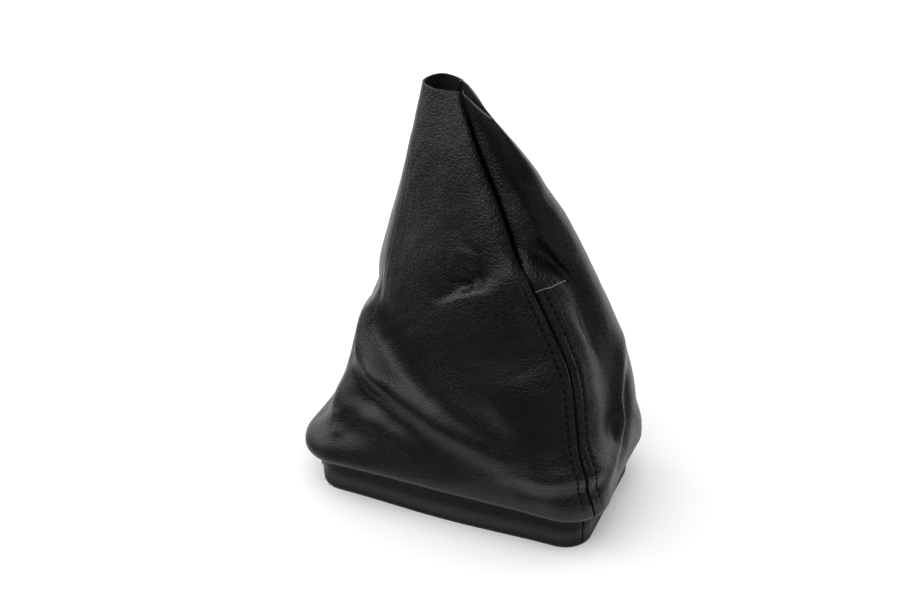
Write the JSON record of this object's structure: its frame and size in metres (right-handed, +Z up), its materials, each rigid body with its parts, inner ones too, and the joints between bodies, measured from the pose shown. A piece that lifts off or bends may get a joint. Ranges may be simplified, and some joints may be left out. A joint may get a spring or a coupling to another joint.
{
  "type": "gear lever gaiter",
  "caption": "Stitched black leather sleeve that tapers from a rounded rectangular frame to a small open mouth around a gear lever.",
  "frame": {"origin": "middle of the retaining frame's underside, where the gaiter stands on the console", "axes": "+Z up towards the mouth, +X along the frame's long side, -Y towards the long front side"},
  "size_m": [0.1617, 0.1019, 0.2067],
  "materials": {
    "leather": "semi-gloss pebble grain",
    "frame_plastic": "plain moulded",
    "thread": "twisted polyester"
  },
  "bodies": {
    "root": {"front_left_panel": "leather", "rear_right_panel": "leather", "retaining_frame": "frame_plastic", "front_seam_thread_left": "thread", "front_seam_thread_right": "thread", "rear_seam_thread_left": "thread", "rear_seam_thread_right": "thread"}
  },
  "joints": []
}
